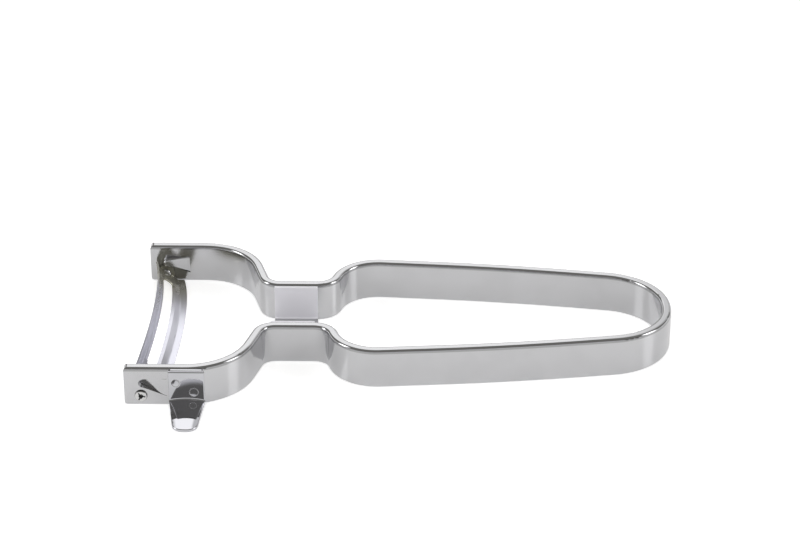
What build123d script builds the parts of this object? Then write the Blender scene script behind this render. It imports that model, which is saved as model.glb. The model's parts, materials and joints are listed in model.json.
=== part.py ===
# Stirrup-shaped vegetable peeler with a swivelling two-edged blade.
# All sizes are in millimetres. The peeler lies flat: X runs from the arms' tips towards the
# end of the handle loop, Y runs across the head, and Z is up.
# The origin is the centre of the bridge clip's underside, in the plane that the peeler rests on.
import os
from math import asin, atan2, cos, degrees, hypot, radians, sin, tan

from build123d import *

# Bent strip that makes both arms, the waist and the handle loop
strip_height = 9.8
strip_thickness = 2.3
strip_edge_radius = 0.65
overall_length = 127.2
head_width = 62.2
head_depth = 24.7
neck_run = 5.6
waist_width = 22.6
waist_length = 15.8
flare_run = 3.5
handle_width = 46.8
handle_run = 38.5
handle_middle_width = 41.0
handle_end_width = 29.3
shoulder_radius = 14.6
waist_front_radius = 4.25
waist_back_radius = 5.0
handle_radius = 10.6
taper_radius = 450.0
loop_end_radius = 16.0
run_share = 0.97
tip_corner_radius = 0.95

# Stop tab lanced out of each arm
tab_nose_x = 3.3
tab_nose_radius = 1.1
tab_nose_z = 5.7
tab_hinge_x = 9.8
tab_root_top = 6.9
tab_root_bottom = 2.4
tab_turn = 20.0
tab_bend_radius = 6.0
tab_edge_round = 0.4
tab_root_overlap = 0.6
shear_gap = 0.08

# Pivots
pivot_x = 3.8
pivot_z = 2.5
shank_radius = 0.75
pivot_running_gap = 0.08
pivot_seat_gap = 0.02
rivet_collar_radius = 1.45
rivet_collar_thickness = 0.5
rivet_collar_round = 0.4
rivet_bore_radius = 0.45
rivet_bore_depth = 1.5
rivet_bore_round = 0.3
rivet_notch_width = 0.35
rivet_notch_depth = 0.25
rivet_notch_count = 3
rivet_head_radius = 1.25
rivet_head_thickness = 0.7
rivet_head_round = 0.6

# Blade
blade_tilt = 39.0
blade_thickness = 0.5
blade_arch = 4.2
slot_width = 2.6
slot_length = 42.6
slot_corner_radius = 1.1
cutting_strip_width = 1.15
guide_strip_width = 2.25
margin_width = 1.7
margin_rise_angle = 37.0
crease_radius = 0.9
bevel_width = 0.7
edge_land = 0.08
blade_end_gap = 0.45
blade_corner_radius = 1.2
ear_side_gap = 0.15
ear_radius = 2.1
ear_arm_width = 0.75
ear_bend_radius = 0.5
ear_fold_run = 0.95
notch_gap = 0.15
bridge_overlap = 0.4

# Bridge clip across the waist
clip_centre_x = 37.4
clip_length = 10.4
clip_thickness = 0.8
clip_bend_radius = 0.9
clip_height = 9.4
seat_gap = 0.02

# Eye remover on the near arm
remover_x = 10.2
plate_width = 8.2
plate_top = 9.5
plate_thickness = 0.6
plate_corner_radius = 0.7
plate_edge_round = 0.2
tongue_top = 1.95
tongue_length = 11.8
tongue_root_width = 8.4
tongue_tip_width = 5.4
tongue_tip_offset = 0.35
tongue_tip_round_share = 0.49
tongue_curve_radius = 58.0
tongue_crown = 0.55
tongue_bend_radius = 0.9
tongue_edge_round = 0.2
fold_radius = 0.45
weld_dimple_radius = 0.85
weld_dimple_depth = 0.06
weld_rim_radius = 0.95
weld_rim_height = 0.1
weld_spot_shares = ((-0.29, 0.64), (0.20, 0.40))

# Length by which a cutting shape runs past what it cuts
overrun = 1.0

arm_y = (head_width - strip_thickness) / 2
arm_inner = arm_y - strip_thickness / 2
arm_outer = arm_y + strip_thickness / 2
waist_y = (waist_width - strip_thickness) / 2
loop_end_x = overall_length - strip_thickness / 2
waist_start_x = head_depth + neck_run
waist_end_x = waist_start_x + waist_length
handle_start_x = waist_end_x + flare_run
handle_middle_x = handle_start_x + handle_run


def fitted_radii(points, radii):
    """Corner radii, each cut back where two neighbouring bends would meet on their run."""
    runs = []
    for start, end in zip(points, points[1:]):
        runs.append((end[0] - start[0], end[1] - start[1]))
    halves = []
    for before, after in zip(runs, runs[1:]):
        turn = abs(atan2(before[0] * after[1] - before[1] * after[0],
                         before[0] * after[0] + before[1] * after[1]))
        halves.append(tan(turn / 2))
    tangents = [radius * half for radius, half in zip(radii, halves)]
    for index, run in enumerate(runs):
        room = hypot(*run) * run_share
        sharing = [place for place in (index - 1, index) if 0 <= place < len(tangents)]
        wanted = sum(tangents[place] for place in sharing)
        if wanted > room:
            for place in sharing:
                tangents[place] *= room / wanted
    return [tangent / half for tangent, half in zip(tangents, halves)]


def strip_path():
    """Centreline of the bent strip, from the far arm's tip round the loop to the near tip."""
    far_side = [
        (0, arm_y),
        (head_depth, arm_y),
        (waist_start_x, waist_y),
        (waist_end_x, waist_y),
        (handle_start_x, (handle_width - strip_thickness) / 2),
        (handle_middle_x, (handle_middle_width - strip_thickness) / 2),
        (loop_end_x, (handle_end_width - strip_thickness) / 2),
    ]
    near_side = [(x, -y) for x, y in reversed(far_side)]
    side_radii = [shoulder_radius, waist_front_radius, waist_back_radius,
                  handle_radius, taper_radius, loop_end_radius]
    points = far_side + near_side
    radii = fitted_radii(points, side_radii + side_radii[::-1])
    return Pos(0, 0, strip_height / 2) * FilletPolyline(*points, radius=radii)


def side_prism(outline):
    """An outline drawn in X and Z, run right across the peeler along Y."""
    return extrude(Plane.XZ * outline, amount=head_width, both=True)


def tab_outline(shrink, root):
    """Side outline of a stop tab: a rounded nose that widens towards its hinge."""
    nose = Pos(tab_nose_x + tab_nose_radius, tab_nose_z) * Circle(tab_nose_radius - shrink)
    rise = tab_root_top - tab_nose_z
    drop = tab_nose_z - tab_root_bottom
    reach = tab_hinge_x - tab_nose_x - tab_nose_radius
    upper_slope = (rise - tab_nose_radius) / reach
    lower_slope = (drop - tab_nose_radius) / reach
    end_x = tab_hinge_x + root
    start_x = tab_nose_x + tab_nose_radius
    body = Polygon(
        (start_x, tab_nose_z + tab_nose_radius - shrink),
        (start_x, tab_nose_z - tab_nose_radius + shrink),
        (end_x, tab_nose_z - tab_nose_radius + shrink - lower_slope * (end_x - start_x)),
        (end_x, tab_nose_z + tab_nose_radius - shrink + upper_slope * (end_x - start_x)),
        align=None,
    )
    return nose + body


def stop_tab():
    """The far arm's stop tab, hinged to the arm and pushed in towards the blade."""
    corner_x = tab_hinge_x - tab_bend_radius * tan(radians(tab_turn / 2))
    slope = tan(radians(tab_turn))
    path = FilletPolyline(
        (tab_hinge_x + tab_root_overlap, arm_y),
        (corner_x, arm_y),
        (tab_nose_x - overrun, arm_y - slope * (corner_x - tab_nose_x + overrun)),
        radius=tab_bend_radius,
    )
    sheet = extrude(trace(path, strip_thickness), amount=strip_height)
    tab = sheet & side_prism(tab_outline(shear_gap, tab_root_overlap))
    inner_face = tab.faces().sort_by(Axis.Y)[0]
    free_rim = inner_face.edges().sort_by(Axis.X)[:-1]
    return fillet(free_rim, tab_edge_round)


def loop_frame():
    """Both arms, the waist and the handle loop, bent from one strip."""
    path = strip_path()
    start = Plane(origin=path @ 0, x_dir=(0, 1, 0), z_dir=path % 0)
    strip = sweep(start * RectangleRounded(strip_thickness, strip_height, strip_edge_radius),
                  path=path)
    side = RectangleRounded(overall_length + tip_corner_radius, strip_height, tip_corner_radius)
    side = Pos((overall_length + tip_corner_radius) / 2, strip_height / 2) * side
    strip = strip & side_prism(side)
    strip -= side_prism(tab_outline(0, 0))
    strip -= side_prism(Pos(pivot_x, pivot_z) * Circle(shank_radius + pivot_seat_gap))
    tab = stop_tab()
    return strip + tab + mirror(tab, about=Plane.XZ)


def pivot_rivet():
    """Far pivot: a tubular rivet with its collar punched over outside the arm."""
    collar = Cylinder(rivet_collar_radius, rivet_collar_thickness,
                      align=(Align.CENTER, Align.CENTER, Align.MIN))
    rim = collar.edges().filter_by(GeomType.CIRCLE).sort_by(Axis.Z)[-1]
    collar = fillet(rim, rivet_collar_round)
    collar = Pos(0, 0, arm_outer + pivot_seat_gap) * collar
    collar_top = arm_outer + pivot_seat_gap + rivet_collar_thickness
    head_top = arm_inner - 2 * ear_side_gap - blade_thickness
    head = Cylinder(rivet_head_radius, rivet_head_thickness,
                    align=(Align.CENTER, Align.CENTER, Align.MAX))
    dome = head.edges().filter_by(GeomType.CIRCLE).sort_by(Axis.Z)[0]
    head = Pos(0, 0, head_top) * fillet(dome, rivet_head_round)
    shank_length = collar_top - head_top + rivet_head_thickness / 2
    shank = Pos(0, 0, collar_top - rivet_collar_thickness / 2) * Cylinder(
        shank_radius, shank_length, align=(Align.CENTER, Align.CENTER, Align.MAX))
    rivet = collar + shank + head
    rivet -= Pos(0, 0, collar_top - rivet_bore_depth) * Cylinder(
        rivet_bore_radius, rivet_bore_depth + overrun,
        align=(Align.CENTER, Align.CENTER, Align.MIN))
    mouth = rivet.edges().filter_by(GeomType.CIRCLE).filter_by(
        lambda edge: edge.radius < shank_radius).sort_by(Axis.Z)[-1]
    rivet = fillet(mouth, rivet_bore_round)
    notch = Pos(0, 0, collar_top - rivet_notch_depth) * Box(
        rivet_collar_radius - rivet_collar_round, rivet_notch_width,
        rivet_notch_depth + overrun, align=(Align.MIN, Align.CENTER, Align.MIN))
    for index in range(rivet_notch_count):
        rivet -= Rot(0, 0, 360 / rivet_notch_count * index) * notch
    return Pos(pivot_x, 0, pivot_z) * Rot(-90, 0, 0) * rivet


def blade_section(start, end):
    """Channel section of the blade between two of its named corners, flat part at zero."""
    half_slot = slot_width / 2
    rise = radians(margin_rise_angle)
    corners = {
        "cutting_edge": (-half_slot - cutting_strip_width - margin_width * cos(rise),
                         margin_width * sin(rise)),
        "cutting_crease": (-half_slot - cutting_strip_width, 0),
        "slot_left": (-half_slot, 0),
        "slot_right": (half_slot, 0),
        "guide_crease": (half_slot + guide_strip_width, 0),
        "guide_edge": (half_slot + guide_strip_width + margin_width * cos(rise),
                       margin_width * sin(rise)),
    }
    names = list(corners)
    points = [corners[name] for name in names[names.index(start):names.index(end) + 1]
              if name in (start, end) or "crease" in name]
    return trace(FilletPolyline(*points, radius=crease_radius), blade_thickness)


def edge_bevel(side):
    """Wedge that grinds one edge of the slot sharp on the upper face."""
    edge_x = side * slot_width / 2
    top = blade_thickness / 2
    land = edge_land - blade_thickness / 2
    return Polygon(
        (edge_x, land),
        (edge_x + side * bevel_width, top),
        (edge_x + side * bevel_width, top + overrun),
        (edge_x - side * overrun, top + overrun),
        (edge_x - side * overrun, land),
        align=None,
    )


def blade():
    """Arched, slotted blade with an ear at each end, tilted about its pivot."""
    ear_outer = arm_inner - ear_side_gap
    ear_middle = ear_outer - blade_thickness / 2
    arch_radius = (ear_middle ** 2 + blade_arch ** 2) / (2 * blade_arch)
    arch_centre = blade_arch - arch_radius
    arch_axis = Axis((0, 0, arch_centre), (-1, 0, 0))

    def arched(section, y_from, y_to):
        """A section swept along the arch between two places along Y."""
        angle_from = degrees(asin(y_from / arch_radius))
        angle_to = degrees(asin(y_to / arch_radius))
        face = Plane.XZ * Pos(0, blade_arch) * section
        swept = revolve(face, arch_axis, revolution_arc=angle_to - angle_from)
        return swept.rotate(arch_axis, angle_from)

    blade_end = arm_inner - blade_end_gap
    straight_slot = slot_length / 2 - slot_corner_radius
    cutting = blade_section("cutting_edge", "slot_left") - edge_bevel(-1)
    guide = blade_section("slot_right", "guide_edge") - edge_bevel(1)
    strips = arched(cutting, -straight_slot, straight_slot)
    strips += arched(guide, -straight_slot, straight_slot)

    full = blade_section("cutting_edge", "guide_edge")
    end = arched(full, straight_slot - bridge_overlap, blade_end)
    left = -slot_width / 2 - cutting_strip_width - margin_width
    right = slot_width / 2 + guide_strip_width + margin_width
    trim = Pos((left + right) / 2, 0) * RectangleRounded(
        right - left, 2 * blade_end, blade_corner_radius)
    end &= extrude(trim, amount=arch_radius, both=True)
    end -= extrude(RectangleRounded(slot_width, slot_length, slot_corner_radius),
                   amount=arch_radius, both=True)

    notch_half = rivet_head_radius + notch_gap
    ear_inner = ear_outer - blade_thickness
    notch_start = ear_inner - ear_side_gap - rivet_head_thickness - notch_gap
    fold_start = ear_middle - ear_fold_run
    fold_rise = arch_centre + (arch_radius ** 2 - fold_start ** 2) ** 0.5
    fold = FilletPolyline(
        (fold_start, fold_rise),
        (ear_middle, 0),
        (ear_middle, ear_radius),
        radius=ear_bend_radius,
    )
    arms = extrude(Plane.YZ * trace(fold, blade_thickness), amount=notch_half + ear_arm_width,
                   both=True)
    round_end = Plane.XZ * Circle(ear_radius)
    ear_disc = extrude(round_end, amount=-ear_outer) - extrude(round_end, amount=-ear_inner)
    arms &= extrude(round_end, amount=-ear_outer - overrun)
    end += arms
    end -= Pos(0, notch_start, 0) * Box(
        2 * notch_half, ear_inner - notch_start, 2 * ear_radius,
        align=(Align.CENTER, Align.MIN, Align.CENTER))
    end += ear_disc
    end -= Pos(0, ear_middle, 0) * Rot(90, 0, 0) * Cylinder(
        shank_radius + pivot_running_gap, blade_thickness + 2 * ear_side_gap)
    whole = strips + end + mirror(end, about=Plane.XZ)
    return Pos(pivot_x, 0, pivot_z) * Rot(0, blade_tilt, 0) * whole


def bridge_clip():
    """U-shaped clip that ties both sides of the waist together."""
    leg_y = waist_y - strip_thickness / 2 - seat_gap - clip_thickness / 2
    web_z = clip_thickness / 2
    path = FilletPolyline(
        (-leg_y, clip_height),
        (-leg_y, web_z),
        (leg_y, web_z),
        (leg_y, clip_height),
        radius=clip_bend_radius,
    )
    channel = extrude(Plane.YZ * trace(path, clip_thickness), amount=clip_length / 2, both=True)
    return Pos(clip_centre_x, 0, 0) * channel


def eye_remover():
    """Plate welded to the near arm, with a crowned tongue bent out from its lower edge."""
    plate_back = -arm_outer - seat_gap
    plate_front = plate_back - plate_thickness
    bend_z = tongue_top - plate_thickness / 2
    half_root = tongue_root_width / 2
    crown_radius = (half_root ** 2 + tongue_crown ** 2) / (2 * tongue_crown)
    crown_centre = bend_z - crown_radius

    face = Pos(0, (plate_top + crown_centre) / 2) * RectangleRounded(
        plate_width, plate_top - crown_centre, plate_corner_radius)
    face -= Pos(0, crown_centre) * Circle(crown_radius)
    plate = Pos(0, plate_back, 0) * extrude(Plane.XZ * face, amount=plate_thickness)
    front_rim = plate.faces().sort_by(Axis.Y)[0].edges()
    plate = fillet(front_rim.filter_by(lambda edge: edge.center().Z > tongue_top), plate_edge_round)

    crown_end = half_root + overrun
    crown_end_z = crown_centre + (crown_radius ** 2 - crown_end ** 2) ** 0.5
    crown = ThreePointArc((-crown_end, crown_end_z), (0, bend_z), (crown_end, crown_end_z))
    section = Pos(0, plate_back, 0) * (Plane.XZ * trace(crown, plate_thickness))
    droop_axis = Axis((0, plate_back, bend_z - tongue_curve_radius), (1, 0, 0))
    sweep_angle = degrees(asin((tongue_length + overrun) / tongue_curve_radius))
    sheet = revolve(section, droop_axis, revolution_arc=sweep_angle)
    outline = Polygon(
        (-half_root, plate_back),
        (tongue_tip_offset - tongue_tip_width / 2, plate_back - tongue_length),
        (tongue_tip_offset + tongue_tip_width / 2, plate_back - tongue_length),
        (half_root, plate_back),
        align=None,
    )
    tip_corners = outline.vertices().sort_by(Axis.Y)[:2]
    outline = fillet(tip_corners, tongue_tip_round_share * tongue_tip_width)
    tongue = sheet & extrude(outline, amount=plate_top, both=True)
    upper_face = tongue.faces().sort_by(Axis.Z)[-1]
    upper_rim = upper_face.edges().sort_by(Axis.Y)[:-1]
    tongue = fillet(upper_rim, tongue_edge_round)

    fold_z = bend_z + plate_thickness / 2
    fold = Pos(plate_front - fold_radius, fold_z - plate_edge_round) * Rectangle(
        fold_radius + plate_edge_round, fold_radius + plate_edge_round,
        align=(Align.MIN, Align.MIN))
    fold -= Pos(plate_front - fold_radius, fold_z + fold_radius) * Circle(fold_radius)
    crown_axis = Axis((0, 0, crown_centre), (0, 1, 0))
    crown_angle = degrees(asin(half_root / crown_radius))
    fold = revolve(Plane.YZ * fold, crown_axis, revolution_arc=2 * crown_angle)
    fold = fold.rotate(crown_axis, -crown_angle) & extrude(outline, amount=plate_top)
    whole = plate + tongue + fold
    lower_back = whole.edges().filter_by(
        lambda edge: abs(edge.center().X) < plate_edge_round
        and abs(edge.center().Y - plate_back) < plate_edge_round).sort_by(Axis.Z)[:1]
    whole = fillet(lower_back, tongue_bend_radius)

    ball_radius = (weld_dimple_radius ** 2 + weld_dimple_depth ** 2) / (2 * weld_dimple_depth)
    ball = Pos(0, -ball_radius + weld_dimple_depth, 0) * Sphere(ball_radius)
    dimple = ball & Box(plate_width, plate_thickness, plate_width)
    for across_share, up_share in weld_spot_shares:
        spot = Pos(across_share * plate_width, 0, up_share * plate_top)
        whole += spot * Pos(0, plate_front, 0) * Rot(90, 0, 0) * Torus(
            weld_rim_radius, weld_rim_height)
        whole -= spot * Pos(0, plate_front, 0) * dimple
    return Pos(remover_x + plate_width / 2, 0, 0) * whole


def main():
    """Make every piece and write each one to its own file."""
    rivet = pivot_rivet()
    pieces = {
        "loop_frame": loop_frame(),
        "bridge_clip": bridge_clip(),
        "eye_remover": eye_remover(),
        "blade": blade(),
        "pivot_rivets": Compound([rivet, mirror(rivet, about=Plane.XZ)]),
    }
    os.makedirs("parts", exist_ok=True)
    for name, piece in pieces.items():
        export_step(Pos(-clip_centre_x, 0, 0) * piece, f"parts/{name}.step")


main()
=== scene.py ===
import json
from math import cos, pi, radians, sin

import bpy
from mathutils import Matrix, Vector


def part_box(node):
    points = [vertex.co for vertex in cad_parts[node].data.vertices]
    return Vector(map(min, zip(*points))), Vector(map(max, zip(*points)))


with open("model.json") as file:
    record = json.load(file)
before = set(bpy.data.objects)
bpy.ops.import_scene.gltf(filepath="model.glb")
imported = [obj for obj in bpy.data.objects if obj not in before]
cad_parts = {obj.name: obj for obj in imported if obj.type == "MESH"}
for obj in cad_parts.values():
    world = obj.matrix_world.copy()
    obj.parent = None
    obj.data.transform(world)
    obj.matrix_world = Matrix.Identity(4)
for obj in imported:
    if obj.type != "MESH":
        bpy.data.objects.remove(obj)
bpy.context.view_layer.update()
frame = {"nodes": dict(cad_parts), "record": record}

bl_info = {
    "name": "Stirrup peeler",
    "version": (1, 0, 0),
    "blender": (4, 5, 0),
    "location": "View3D > Sidebar > Peeler",
    "description": "Finishes of a bent-strip vegetable peeler, and the table it is photographed on",
    "category": "Object",
}

MM = 0.001
WHITE = (1.0, 1.0, 1.0)

# Places on the peeler that the painted shade, highlights and reflections in its finishes are measured from
HINGE = frame["record"]["behaviour"]["joints"][0]["pos_m"]
PIVOT = (HINGE[0], HINGE[2])
STRIP_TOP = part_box("loop_frame")[1][2]
COLLAR_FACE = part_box("pivot_rivets")[1][1]
UPPER_WELD = (-25.52 * MM, 6.08 * MM)
LOWER_WELD = (-21.42 * MM, 3.8 * MM)


class Wire:
    """A value that runs through a shader, with Python's own arithmetic."""

    def __init__(self, graph, socket):
        self.graph = graph
        self.socket = socket

    def sum(self, operation, *terms):
        """One Math node on these terms, in this order."""
        return self.graph.node("ShaderNodeMath", {"operation": operation}, dict(enumerate(terms)))["Value"]

    def __add__(self, other):
        return self.sum("ADD", self, other)

    def __radd__(self, other):
        return self.sum("ADD", other, self)

    def __sub__(self, other):
        return self.sum("SUBTRACT", self, other)

    def __rsub__(self, other):
        return self.sum("SUBTRACT", other, self)

    def __mul__(self, other):
        return self.sum("MULTIPLY", self, other)

    def __rmul__(self, other):
        return self.sum("MULTIPLY", other, self)

    def __truediv__(self, other):
        return self.sum("DIVIDE", self, other)

    def __neg__(self):
        return self.sum("MULTIPLY", self, -1.0)

    def above(self, other):
        """1 where the value is greater, else 0."""
        return self.sum("GREATER_THAN", self, other)

    def most(self, other):
        """The greater of the two."""
        return self.sum("MAXIMUM", self, other)

    def size(self):
        """The value without its sign."""
        return self.sum("ABSOLUTE", self)

    def root(self):
        """The square root."""
        return self.sum("SQRT", self)

    def ramp(self, low, high):
        """Rises smoothly from 0 at low to 1 at high."""
        made = self.graph.node(
            "ShaderNodeMapRange", {"interpolation_type": "SMOOTHSTEP"},
            {"Value": self, "From Min": low, "From Max": high})
        return made["Result"]

    def between(self, low, full, fading, gone):
        """Rises from 0 at low to 1 at full, and falls again from fading to gone."""
        return self.ramp(low, full) * (1.0 - self.ramp(fading, gone))

    def near(self, middle, reach, low, full):
        """1 about the middle and 0 beyond reach, with an edge that runs from low to full."""
        return (reach - (self - middle).size()).ramp(low, full)


class Outputs:
    """A made node's outputs, each one ready for sums."""

    def __init__(self, graph, made):
        self.graph = graph
        self.made = made

    def __getitem__(self, name):
        return Wire(self.graph, self.made.outputs[name])


class Graph:
    """The node tree of a material or of the world, built from nothing."""

    def __init__(self, owner):
        owner.use_nodes = True
        self.tree = owner.node_tree
        self.tree.nodes.clear()

    def node(self, kind, settings=None, inputs=None):
        """Adds a node of this kind, with its settings first and then its sockets."""
        made = self.tree.nodes.new(kind)
        for name, value in (settings or {}).items():
            setattr(made, name, value)
        for place, value in (inputs or {}).items():
            socket = made.inputs[place]
            if isinstance(value, Wire):
                self.tree.links.new(value.socket, socket)
            else:
                socket.default_value = value
        return Outputs(self, made)

    def blend(self, share, start, end):
        """One colour into another by a share from 0 to 1."""
        colours = [value if isinstance(value, Wire) else (*value, 1.0) for value in (start, end)]
        made = self.node("ShaderNodeMix", {"data_type": "RGBA"}, {0: share, 6: colours[0], 7: colours[1]})
        return made[2]

    def point(self):
        """Place on the piece in its own frame, in metres."""
        return self.node("ShaderNodeTexCoord")["Object"]

    def stretched(self, vector, scale):
        """The vector with each of its parts times its own scale."""
        made = self.node("ShaderNodeVectorMath", {"operation": "MULTIPLY"}, {0: vector, 1: scale})
        return made["Vector"]

    def noise(self, vector, scale, detail, roughness=0.5):
        """Cloudy noise from 0 to 1, its grain given as a number of clouds in a metre."""
        made = self.node(
            "ShaderNodeTexNoise", None,
            {"Vector": vector, "Scale": scale, "Detail": detail, "Roughness": roughness})
        return made["Fac"]

    def parts(self, vector):
        """The vector's three parts."""
        made = self.node("ShaderNodeSeparateXYZ", None, {"Vector": vector})
        return made["X"], made["Y"], made["Z"]


CLOUDS_PER_METRE = 140.0
CLOUD_DETAIL = 3.0
CLOUDED_TINT = (0.35, 0.7)
CLOUDED_SMUDGE = (0.45, 0.75)
LINE_DETAIL = 3.0
LINE_HARSHNESS = 0.65
LINE_LEAST = 0.8
LINE_SWING = 0.4
EDGE_TURN = (0.1, 0.35)
ALONG_THE_STRIP = 0.25


def steel(name, colour, tint, roughness, edge_roughness, grain, grain_depth, smudge,
          drawn=0.0, metallic=1.0, marks=None):
    """A metal finish: grain lines, soft smudges, a change of tint, smoother edges, and marks.

    The grain is the number of lines in a metre along each axis, and the tint is the clouded
    colour's share of the colour. The marks are painted shade, painted highlights and painted
    reflections, made from the place on the piece. Each one is a share, a colour, and what it
    adds to the roughness.
    """
    material = bpy.data.materials.new(name)
    graph = Graph(material)
    point = graph.point()
    lines = graph.noise(graph.stretched(point, grain), 1.0, LINE_DETAIL, LINE_HARSHNESS)
    clouds = graph.noise(point, CLOUDS_PER_METRE, CLOUD_DETAIL)
    shade = graph.blend(clouds.ramp(*CLOUDED_TINT), colour, [tint * part for part in colour])
    upward = graph.parts(graph.node("ShaderNodeNewGeometry")["True Normal"])[2]
    edge = upward.size().ramp(*EDGE_TURN)
    face_rough = roughness * (LINE_LEAST + LINE_SWING * lines) + smudge * clouds.ramp(*CLOUDED_SMUDGE)
    rough = face_rough + edge * (edge_roughness - face_rough)
    if marks:
        # Painted shade, painted highlights and painted reflections are blended into the colour here
        for share, mark_colour, added in marks(*graph.parts(point)):
            shade = graph.blend(share, shade, mark_colour)
            rough = rough + added * share
    bump = graph.node(
        "ShaderNodeBump", None,
        {"Strength": 1.0, "Distance": grain_depth, "Height": lines})
    surface = graph.node(
        "ShaderNodeBsdfPrincipled", None,
        {"Base Color": shade, "Metallic": metallic, "Roughness": rough, "Normal": bump["Normal"],
         "Anisotropic": drawn, "Anisotropic Rotation": ALONG_THE_STRIP})
    graph.node("ShaderNodeOutputMaterial", None, {"Surface": surface["BSDF"]})
    return material


def dress(node, material):
    """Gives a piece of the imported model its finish."""
    piece = frame["nodes"][node]
    piece.data.materials.clear()
    piece.data.materials.append(material)


def distance(x, z, centre):
    """How far a place on an upright face is from a centre."""
    across = x - centre[0]
    up = z - centre[1]
    return (across * across + up * up).root()


def ring(x, z, centre, radius, width):
    """A soft round line on an upright face: 1 on the circle and 0 away from it."""
    away = distance(x, z, centre) - radius
    return 1.0 - away.size().ramp(0.3 * width, width)


def strip_painted_shade(x, y, z):
    """Painted shade on the top edge, with a painted dark reflection under its rounding."""
    # Painted shade: the very top of the strip is darkened in colour, roughness unchanged
    painted_shade_top = z.ramp(STRIP_TOP - 0.1 * MM, STRIP_TOP - 0.02 * MM)
    # Painted dark reflection: a darker line under the top edge's rounding
    painted_dark_reflection = z.between(
        STRIP_TOP - 1.05 * MM, STRIP_TOP - 0.8 * MM, STRIP_TOP - 0.45 * MM, STRIP_TOP - 0.3 * MM)
    return [(painted_shade_top, (0.52, 0.52, 0.53), 0.0), (painted_dark_reflection, (0.38, 0.38, 0.39), 0.0)]


def clip_painted_shade(x, y, z):
    """Painted shade on the web between the two folds."""
    # Painted shade: the web below the folds is darkened in colour
    web = 1.0 - z.ramp(0.84 * MM, 1.05 * MM)
    return [(web, (0.34, 0.34, 0.36), 0.0)]


def remover_painted_shade_and_highlight(x, y, z):
    """Painted shade in a ring round the upper weld, a painted highlight in a ring round the lower, and
    painted shade in a line under the lip.
    """
    front = (-y).above(31.4 * MM)
    # Painted shade: a dark ring round the upper weld
    dark = front * ring(x, z, UPPER_WELD, radius=0.85 * MM, width=0.11 * MM)
    # Painted highlight: a light ring round the lower weld
    light = front * ring(x, z, LOWER_WELD, radius=1.0 * MM, width=0.2 * MM)
    # Painted shade: a dark line under the plate's top lip
    lip = front * (1.0 - (z - 8.98 * MM).size().ramp(0.06 * MM, 0.18 * MM))
    return [
        (dark, (0.3, 0.3, 0.3), 0.1),
        (light, (0.8, 0.8, 0.83), 0.25),
        (lip, (0.12, 0.12, 0.12), 0.0),
    ]


def blade_painted_shade_and_reflection(x, y, z):
    """Painted shade on the front strip, and a brownish painted dark reflection that deepens towards the far
    ear.
    """
    # Painted shade: the blade's front strip is darkened in colour
    painted_front_shade = 1.0 - x.ramp(-31.6 * MM, -31.0 * MM)
    # Painted dark reflection: a brownish tint that deepens towards the far ear
    painted_far_reflection = y.ramp(6.0 * MM, 20.0 * MM)
    return [(painted_front_shade, (0.6, 0.6, 0.69), 0.0), (painted_far_reflection, (0.36, 0.35, 0.29), 0.0)]


def rivet_painted_shade(x, y, z):
    """Painted shade in a rim round each collar, and painted shade in its bore."""
    away = distance(x, z, PIVOT)
    outward = y.size()
    collar = outward.above(COLLAR_FACE - 1.02 * MM)
    # Painted shade: a dark rim round the edge of each collar
    rim = collar * away.ramp(1.28 * MM, 1.4 * MM)
    sunk = collar * (1.0 - outward.ramp(COLLAR_FACE - 0.2 * MM, COLLAR_FACE - 0.06 * MM))
    # Painted shade: a dark bore sunk in the middle of each collar
    bore = sunk * (1.0 - away.ramp(0.95 * MM, 1.05 * MM))
    return [(rim, (0.1, 0.1, 0.1), 0.1), (bore, (0.06, 0.06, 0.06), 0.1)]


class PeelerFinishes(bpy.types.PropertyGroup):
    """Colours and roughness of the peeler's finishes."""

    strip_colour: bpy.props.FloatVectorProperty(
        name="Strip colour", description="Colour of the polished strip's reflections",
        subtype="COLOR", size=3, min=0.0, max=1.0, default=(0.62, 0.62, 0.635))
    strip_roughness: bpy.props.FloatProperty(
        name="Strip roughness", description="Roughness of the polished strip's faces",
        subtype="FACTOR", min=0.0, max=1.0, default=0.15)
    clip_colour: bpy.props.FloatVectorProperty(
        name="Clip colour", description="Colour of the satin bridge clip",
        subtype="COLOR", size=3, min=0.0, max=1.0, default=(0.93, 0.92, 0.97))
    clip_roughness: bpy.props.FloatProperty(
        name="Clip roughness", description="Roughness of the satin bridge clip",
        subtype="FACTOR", min=0.0, max=1.0, default=0.42)
    remover_colour: bpy.props.FloatVectorProperty(
        name="Eye remover colour", description="Colour of the eye remover's reflections",
        subtype="COLOR", size=3, min=0.0, max=1.0, default=(0.62, 0.62, 0.65))
    remover_roughness: bpy.props.FloatProperty(
        name="Eye remover roughness", description="Roughness of the eye remover",
        subtype="FACTOR", min=0.0, max=1.0, default=0.05)
    blade_colour: bpy.props.FloatVectorProperty(
        name="Blade colour", description="Colour of the blade's reflections",
        subtype="COLOR", size=3, min=0.0, max=1.0, default=(0.78, 0.78, 0.86))
    blade_roughness: bpy.props.FloatProperty(
        name="Blade roughness", description="Roughness of the blade",
        subtype="FACTOR", min=0.0, max=1.0, default=0.2)
    rivet_colour: bpy.props.FloatVectorProperty(
        name="Rivet colour", description="Colour of the rivets' reflections",
        subtype="COLOR", size=3, min=0.0, max=1.0, default=(0.7, 0.7, 0.7))
    rivet_roughness: bpy.props.FloatProperty(
        name="Rivet roughness", description="Roughness of the rivets",
        subtype="FACTOR", min=0.0, max=1.0, default=0.14)


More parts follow.
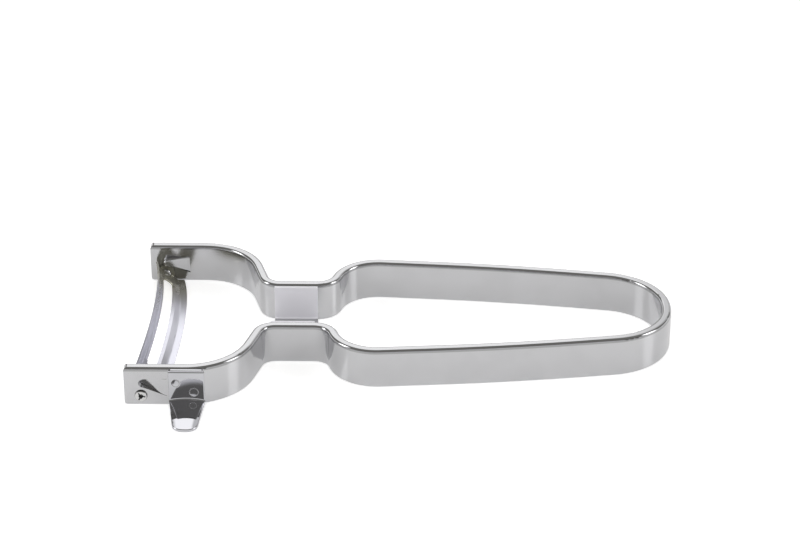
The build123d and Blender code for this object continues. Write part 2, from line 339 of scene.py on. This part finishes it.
class PeelerStage(bpy.types.PropertyGroup):
    """Sizes and levels of the stage."""

    floor_radius: bpy.props.FloatProperty(
        name="Floor radius", description="Radius of the pale floor", unit="LENGTH", default=4.0)
    floor_colour: bpy.props.FloatVectorProperty(
        name="Floor colour", description="Colour of the floor",
        subtype="COLOR", size=3, min=0.0, max=1.0, default=(0.9, 0.9, 0.9))
    floor_glow: bpy.props.FloatProperty(
        name="Floor glow", description="Light that the floor gives by itself", default=0.24)
    floor_whitening: bpy.props.FloatProperty(
        name="Floor whitening", description="Glow that is added for the camera alone", default=0.34)
    floor_sheen: bpy.props.FloatProperty(
        name="Floor sheen", description="Share of the floor's light that it mirrors",
        subtype="FACTOR", min=0.0, max=1.0, default=0.06)
    floor_sheen_roughness: bpy.props.FloatProperty(
        name="Floor sheen roughness", description="Roughness of what the floor mirrors",
        subtype="FACTOR", min=0.0, max=1.0, default=0.08)
    back_level: bpy.props.FloatProperty(
        name="Back box", description="Brightness of the soft box behind the peeler", default=1.45)
    wall_level: bpy.props.FloatProperty(
        name="Back wall", description="Brightness of the wall right of the soft box", default=0.72)
    side_level: bpy.props.FloatProperty(
        name="Side boxes", description="Brightness of the soft boxes at both sides", default=4.0)
    dark_level: bpy.props.FloatProperty(
        name="Dark room", description="Brightness of the rest of the room", default=0.2)
    lamp_power: bpy.props.FloatProperty(
        name="Front lamp", description="Power of the front lamp", unit="POWER", default=1.9)
    camera_distance: bpy.props.FloatProperty(
        name="Camera distance", description="From the camera to the point it turns about",
        unit="LENGTH", default=598.34 * MM)
    camera_azimuth: bpy.props.FloatProperty(
        name="Camera azimuth", description="Turn of the camera round the peeler",
        subtype="ANGLE", default=radians(0.515))
    camera_elevation: bpy.props.FloatProperty(
        name="Camera elevation", description="Height of the camera above the table",
        subtype="ANGLE", default=radians(28.0))
    camera_roll: bpy.props.FloatProperty(
        name="Camera roll", description="Tilt of the camera about its own line of sight",
        subtype="ANGLE", default=radians(0.101))
    camera_target: bpy.props.FloatVectorProperty(
        name="Camera target", description="Point on the table at the picture's centre",
        subtype="XYZ", unit="LENGTH", size=3, default=(24.865 * MM, 37.1 * MM, 0.0))
    camera_lens: bpy.props.FloatProperty(
        name="Lens", description="Focal length in millimetres on a 36 mm sensor",
        unit="CAMERA", default=105.91)


class PEELER_OT_strip(bpy.types.Operator):
    """Polish the bent strip that makes the arms, the waist and the handle loop"""

    bl_idname = "peeler.strip"
    bl_label = "Polish the strip"

    def execute(self, context):
        finishes = context.scene.peeler_finishes
        finish = steel(
            "Polished strip", finishes.strip_colour, tint=0.96,
            roughness=finishes.strip_roughness, edge_roughness=0.1,
            grain=(60.0, 60.0, 6000.0), grain_depth=0.006 * MM, smudge=0.03,
            drawn=0.5, marks=strip_painted_shade)
        dress("loop_frame", finish)
        return {"FINISHED"}


class PEELER_OT_clip(bpy.types.Operator):
    """Give the bridge clip its satin finish"""

    bl_idname = "peeler.clip"
    bl_label = "Finish the bridge clip"

    def execute(self, context):
        finishes = context.scene.peeler_finishes
        finish = steel(
            "Satin clip", finishes.clip_colour, tint=0.97,
            roughness=finishes.clip_roughness, edge_roughness=0.3,
            grain=(3000.0, 3000.0, 3000.0), grain_depth=0.004 * MM, smudge=0.05,
            metallic=0.15, marks=clip_painted_shade)
        dress("bridge_clip", finish)
        return {"FINISHED"}


class PEELER_OT_remover(bpy.types.Operator):
    """Polish the eye remover's plate and tongue"""

    bl_idname = "peeler.remover"
    bl_label = "Finish the eye remover"

    def execute(self, context):
        finishes = context.scene.peeler_finishes
        finish = steel(
            "Polished remover", finishes.remover_colour, tint=0.97,
            roughness=finishes.remover_roughness, edge_roughness=0.05,
            grain=(600.0, 600.0, 600.0), grain_depth=0.002 * MM, smudge=0.03,
            marks=remover_painted_shade_and_highlight)
        dress("eye_remover", finish)
        return {"FINISHED"}


class PEELER_OT_blade(bpy.types.Operator):
    """Finish the blade with grinding lines along its edges"""

    bl_idname = "peeler.blade"
    bl_label = "Finish the blade"

    def execute(self, context):
        finishes = context.scene.peeler_finishes
        finish = steel(
            "Blade steel", finishes.blade_colour, tint=0.97,
            roughness=finishes.blade_roughness, edge_roughness=0.2,
            grain=(5000.0, 80.0, 5000.0), grain_depth=0.002 * MM, smudge=0.05,
            metallic=0.6, marks=blade_painted_shade_and_reflection)
        dress("blade", finish)
        return {"FINISHED"}


class PEELER_OT_rivets(bpy.types.Operator):
    """Finish the two pivot rivets"""

    bl_idname = "peeler.rivets"
    bl_label = "Finish the rivets"

    def execute(self, context):
        finishes = context.scene.peeler_finishes
        finish = steel(
            "Rivet steel", finishes.rivet_colour, tint=0.95,
            roughness=finishes.rivet_roughness, edge_roughness=0.14,
            grain=(1500.0, 1500.0, 1500.0), grain_depth=0.006 * MM, smudge=0.05,
            marks=rivet_painted_shade)
        dress("pivot_rivets", finish)
        return {"FINISHED"}


def make_floor(stage):
    """A round pale floor that keeps the peeler's shadow."""
    sides = 96
    turns = [2 * pi * side / sides for side in range(sides)]
    points = [(stage.floor_radius * cos(turn), stage.floor_radius * sin(turn), 0.0) for turn in turns]
    mesh = bpy.data.meshes.new("Floor")
    mesh.from_pydata(points, [], [list(range(sides))])
    floor = bpy.data.objects.new("Floor", mesh)
    bpy.context.scene.collection.objects.link(floor)
    material = bpy.data.materials.new("Pale floor")
    graph = Graph(material)
    paint = graph.node("ShaderNodeBsdfDiffuse", None, {"Color": (*stage.floor_colour, 1.0)})
    path = graph.node("ShaderNodeLightPath")
    glow = graph.node(
        "ShaderNodeEmission", None,
        {"Color": (*WHITE, 1.0),
         "Strength": stage.floor_glow + stage.floor_whitening * path["Is Camera Ray"]})
    both = graph.node("ShaderNodeAddShader", None, {0: paint["BSDF"], 1: glow["Emission"]})
    sheen = graph.node(
        "ShaderNodeBsdfAnisotropic", None,
        {"Color": (*WHITE, 1.0), "Roughness": stage.floor_sheen_roughness})
    whole = graph.node(
        "ShaderNodeMixShader", None,
        {0: stage.floor_sheen, 1: both["Shader"], 2: sheen["BSDF"]})
    graph.node("ShaderNodeOutputMaterial", None, {"Surface": whole["Shader"]})
    mesh.materials.append(material)


def make_world(stage):
    """A studio: white to the eye, with soft boxes behind and beside the peeler and a dark front."""
    world = bpy.data.worlds.new("Studio")
    bpy.context.scene.world = world
    graph = Graph(world)
    path = graph.node("ShaderNodeLightPath")
    x, y, z = graph.parts(graph.node("ShaderNodeTexCoord")["Generated"])
    flat = (x * x + y * y).root().most(0.001)
    ahead = y / flat
    across = x / flat
    behind = ahead.above(0.0)
    horizon = 1.0 - z.ramp(0.14, 0.32)
    back = across.near(-0.13, reach=0.26, low=-0.08, full=0.06) * behind * z.between(0.38, 0.46, 0.86, 0.93)
    wall = across.near(0.36, reach=0.32, low=-0.05, full=0.08) * behind * (1.0 - z.ramp(0.8, 0.92))
    sides = ahead.near(-0.12, reach=0.26, low=0.0, full=0.16) * z.between(0.1, 0.25, 0.62, 0.75)
    room = horizon.most(stage.back_level * back).most(stage.wall_level * wall)
    room = room.most(stage.side_level * sides).most(stage.dark_level)
    seen = path["Is Camera Ray"].most(path["Is Transmission Ray"])
    strength = room * (1.0 - seen) + seen
    tint = graph.blend(room.ramp(0.2, 0.6), (1.0, 0.985, 0.93), WHITE)
    light = graph.node("ShaderNodeBackground", None, {"Color": tint, "Strength": strength})
    graph.node("ShaderNodeOutputWorld", None, {"Surface": light["Background"]})


def make_lamp(power):
    """A rectangular lamp above the front that lights the dull surfaces, and isn't mirrored."""
    place = Vector((0.0, -0.45, 0.55))
    lamp = bpy.data.lights.new("Front lamp", "AREA")
    lamp.shape = "RECTANGLE"
    lamp.size = 0.6
    lamp.size_y = 0.4
    lamp.energy = power
    holder = bpy.data.objects.new("Front lamp", lamp)
    bpy.context.scene.collection.objects.link(holder)
    holder.location = place
    holder.rotation_euler = (-place).to_track_quat("-Z", "Y").to_euler()
    holder.visible_glossy = False


def make_camera(stage):
    """The camera at the photograph's angle."""
    azimuth, elevation, roll = stage.camera_azimuth, stage.camera_elevation, stage.camera_roll
    back = Vector((sin(azimuth) * cos(elevation), -cos(azimuth) * cos(elevation), sin(elevation)))
    level = Vector((cos(azimuth), sin(azimuth), 0.0))
    upright = back.cross(level)
    right = level * cos(roll) + upright * sin(roll)
    up = upright * cos(roll) - level * sin(roll)
    data = bpy.data.cameras.new("Camera")
    data.sensor_width = 36.0
    data.lens = stage.camera_lens
    data.clip_start = 0.01
    data.clip_end = 50.0
    camera = bpy.data.objects.new("Camera", data)
    bpy.context.scene.collection.objects.link(camera)
    turn = Matrix((right, up, back)).transposed().to_4x4()
    place = Vector(stage.camera_target) + stage.camera_distance * back
    camera.matrix_world = Matrix.Translation(place) @ turn
    bpy.context.scene.camera = camera


class PEELER_OT_stage(bpy.types.Operator):
    """Lay the pale floor, and set up the soft light and the camera"""

    bl_idname = "peeler.stage"
    bl_label = "Set the stage"

    def execute(self, context):
        stage = context.scene.peeler_stage
        make_floor(stage)
        make_world(stage)
        make_lamp(stage.lamp_power)
        make_camera(stage)
        context.scene.view_settings.view_transform = "Standard"
        return {"FINISHED"}


class PEELER_PT_panel(bpy.types.Panel):
    """Steps that dress the peeler"""

    bl_idname = "PEELER_PT_panel"
    bl_label = "Peeler"
    bl_space_type = "VIEW_3D"
    bl_region_type = "UI"
    bl_category = "Peeler"

    def draw(self, context):
        for operator in STEPS:
            self.layout.operator(operator.bl_idname)
        for group in (context.scene.peeler_finishes, context.scene.peeler_stage):
            for name in group.__annotations__:
                self.layout.prop(group, name)


STEPS = (
    PEELER_OT_strip,
    PEELER_OT_clip,
    PEELER_OT_remover,
    PEELER_OT_blade,
    PEELER_OT_rivets,
    PEELER_OT_stage,
)
CLASSES = (PeelerFinishes, PeelerStage, *STEPS, PEELER_PT_panel)


def register():
    for each in CLASSES:
        bpy.utils.register_class(each)
    bpy.types.Scene.peeler_finishes = bpy.props.PointerProperty(type=PeelerFinishes)
    bpy.types.Scene.peeler_stage = bpy.props.PointerProperty(type=PeelerStage)


def unregister():
    del bpy.types.Scene.peeler_stage
    del bpy.types.Scene.peeler_finishes
    for each in reversed(CLASSES):
        bpy.utils.unregister_class(each)


def main():
    """Dress every piece and set the stage."""
    register()
    for step in STEPS:
        group, name = step.bl_idname.split(".")
        getattr(getattr(bpy.ops, group), name)()


if __name__ == "__main__":
    main()
